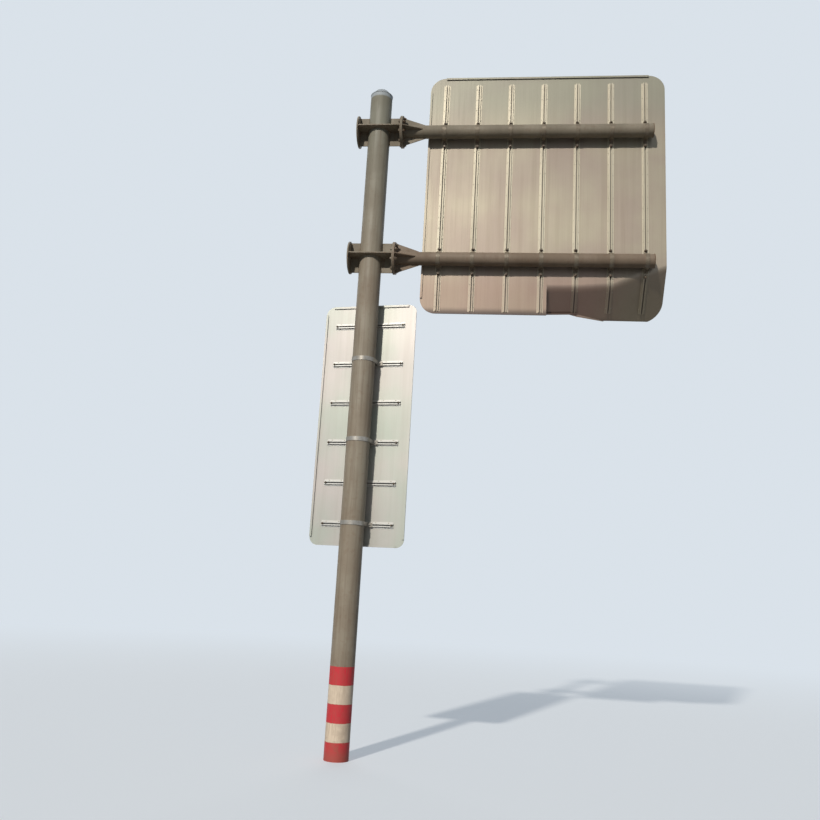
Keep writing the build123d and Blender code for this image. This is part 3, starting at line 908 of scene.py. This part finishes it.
# Slot bolts: above and below each strap on the arms a heavier T-bolt with its nut sits in
# the channel's slot and keeps the strap's plate from sliding. They have rusted dark.
slot_thread, slot_thread_out, slot_bolt_away = 0.022, 0.014, 0.165
bm = bmesh.new()
for middle in shelf_heights:
    for name in ribs:
        rib = surface_of(name)
        for z in (middle - slot_bolt_away, middle + slot_bolt_away):
            start = Vector((middle_of(name, 0) + slot_lip, -outlook, z))
            point, normal = rib.ray_cast(start, toward)[:2]
            point.x -= slot_lip
            bolt_end(bm, facing(point, normal), slot_thread, left_turned(), slot_thread_out)
make_piece("main_sign_slot_bolts", bm, bolt_zinc)

# Sign fronts: retroreflective sheeting on the front of each sheet, a plain faded blue
# field with a white border, left without lettering. It follows the sheet over the bend
# and ends where the torn lip hangs down.
film_lift, film_thick, film_inset = 0.0001, 0.0006, 0.001
film_cell, film_probe = 0.03, 0.0004
lip_ahead, lip_upright = 0.05, 0.3
crease_room, crease_aside, rim_step = 0.004, 0.0002, 0.0006
flat_ribs, rib_landing, rim_width = 4, 0.042, 0.025
main_corner, side_corner = 0.20, 0.10
border_inset, border_width = 0.018, 0.035
film_blue, film_pale, film_white = tone(40, 86, 150), tone(56, 100, 157), tone(214, 214, 206)
film_dirt, film_dirt_share = tone(120, 108, 90), 0.15
film_coat, film_coat_rough = 0.25, 0.25
film_smooth, film_chalked, prism_scale = 0.32, 0.48, 320.0

film_material, tree = new_material("sign_film")
sizes = {"Blotch Size": 0.6, "Streak Width": 0.03, "Streak Length": 1.2}
worn = use(tree, weathering, sizes)
inside = add(tree, "ShaderNodeAttribute", attribute_name="edge_distance").outputs["Fac"]
from_line = math_of(tree, "SUBTRACT", inside, border_inset + border_width / 2)
from_line = math_of(tree, "ABSOLUTE", from_line)
on_line = math_of(tree, "LESS_THAN", from_line, border_width / 2)
base = mix_of(tree, worn["Blotches"], film_blue, film_pale)
base = mix_of(tree, on_line, base, film_white)
base = lay(tree, base, worn["Streaks"], film_dirt_share, film_dirt)
place = add(tree, "ShaderNodeTexCoord").outputs["Object"]
prisms = add(tree, "ShaderNodeTexVoronoi", {"Vector": place, "Scale": prism_scale})
rough = range_of(tree, worn["Blotches"], 0, 1, film_smooth, film_chalked)
relief = prisms.outputs["Distance"]
shader = set_surface(tree, base, rough, relief, strength=0.25, height=0.0004)
shader.inputs["Coat Weight"].default_value = film_coat
shader.inputs["Coat Roughness"].default_value = film_coat_rough


# How far a point of a flat sign lies inside its rounded outline
def inside_outline(across, down, half_width, half_height, corner):
    x = abs(across) - (half_width - corner)
    y = abs(down) - (half_height - corner)
    outside = math.hypot(max(x, 0), max(y, 0))
    return corner - outside - min(max(x, y), 0)


# One sheet's film: columns of points on the sheet's front, from its upper to its lower
# edge, each column measured along the sheet so that the border keeps its width on a bend.
# Where the sheet is creased or stepped, a column follows the crease. The outline is the
# whole sign's: its middle, half width, half height and corner radius.
def add_film(name, node, across, front, start, end, outline, creases=()):
    middle, half_width, half_height, corner = outline
    surface = surface_of(node)
    low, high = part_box(node)
    flat_part = [v.co for v in nodes[node].data.vertices if v.co.z > high.z - corner]
    flat_front = max(point.dot(front) for point in flat_part)
    columns = round((end - start) / film_cell)
    places = [start + (end - start) * k / columns for k in range(columns + 1)]
    places = [x for x in places if all(abs(x - crease) > crease_room for crease in creases)]
    places = sorted([*places, *creases])
    rows = round(2 * half_height / film_cell)
    looks = 4 * rows
    bm = bmesh.new()
    layer = bm.verts.layers.float.new("edge_distance")
    grids = [[], []]

    def meet(along, z):
        origin = across * along + front * outlook
        origin.z = z
        point, normal = surface.ray_cast(origin, -front, 2 * outlook)[:2]
        ahead = point and point.dot(front) > flat_front + lip_ahead
        return (None, None) if ahead and normal.z < lip_upright else (point, normal)

    # the last height at which the sheet is met, between one where it is and one where not
    def edge_height(along, met, missed):
        while abs(met - missed) > film_probe:
            tried = (met + missed) / 2
            if meet(along, tried)[0]:
                met = tried
            else:
                missed = tried
        return met

    for along in places:
        half_way = (low.z + high.z) / 2
        upper = edge_height(along, half_way, high.z + film_inset) - film_inset
        lower = edge_height(along, half_way, low.z - film_inset) + film_inset
        hits = [meet(along, upper + (lower - upper) * k / looks) for k in range(looks + 1)]
        hits = [(point, normal) for point, normal in hits if point]
        lengths = [0.0]
        for (point, _), (after, _) in zip(hits, hits[1:]):
            lengths.append(lengths[-1] + (after - point).length)
        for grid, lift in zip(grids, (film_lift, film_lift + film_thick)):
            line, k = [], 0
            for row in range(rows + 1):
                wanted = lengths[-1] * row / rows
                while k < len(lengths) - 2 and lengths[k + 1] < wanted:
                    k += 1
                share = (wanted - lengths[k]) / max(lengths[k + 1] - lengths[k], 1e-9)
                point = hits[k][0].lerp(hits[k + 1][0], share)
                normal = hits[k][1].lerp(hits[k + 1][1], share).normalized()
                vertex = bm.verts.new(point + normal * lift)
                down = high.z - upper + wanted - half_height
                vertex[layer] = inside_outline(along - middle, down, *outline[1:])
                line.append(vertex)
            grid.append(line)
    for grid in grids:
        for left, right in zip(grid, grid[1:]):
            for row in range(rows):
                bm.faces.new((left[row], left[row + 1], right[row + 1], right[row]))
    rims = []
    for grid in grids:
        top, bottom = [line[0] for line in grid], [line[-1] for line in grid]
        rims.append(grid[0] + bottom[1:] + grid[-1][-2::-1] + top[-2:0:-1])
    count = len(rims[0])
    for k in range(count):
        after = (k + 1) % count
        bm.faces.new((rims[0][k], rims[0][after], rims[1][after], rims[1][k]))
    film = make_piece(name, bm, film_material)
    for face in film.data.polygons:
        face.use_smooth = True


# the right half is creased beside each bent channel and has a rim along its outer edge
main_left, main_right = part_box("main_sign_left_sheet")[0].x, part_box("main_sign_right_sheet")[1].x
rim_edge = main_right - rim_width
bent_creases = [rim_edge - rim_step, rim_edge + rim_step]
for name in ribs[flat_ribs:]:
    for away in (-rib_landing, rib_landing):
        bent_creases.append(middle_of(name, 0) + away + crease_aside)
main_half, main_half_height = (main_right - main_left) / 2, (left_high.z - main_foot) / 2
main_outline = ((main_left + main_right) / 2, main_half, main_half_height, main_corner)
for side, creases in (("left", []), ("right", bent_creases)):
    node = f"main_sign_{side}_sheet"
    start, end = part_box(node)[0].x + film_inset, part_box(node)[1].x - film_inset
    film_name = f"main_sign_{side}_film"
    add_film(film_name, node, Vector((1, 0, 0)), toward, start, end, main_outline, creases)

low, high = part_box("side_sign_sheet")
side_half = side_reach("side_sign_sheet")
side_least = min(v.co.dot(side_across) for v in side_mesh.vertices)
side_outline = ((side_half + side_least) / 2, side_half, (high.z - low.z) / 2, side_corner)
start, end = film_inset - side_half, side_half - film_inset
add_film("side_sign_film", "side_sign_sheet", side_across, side_facing, start, end, side_outline)
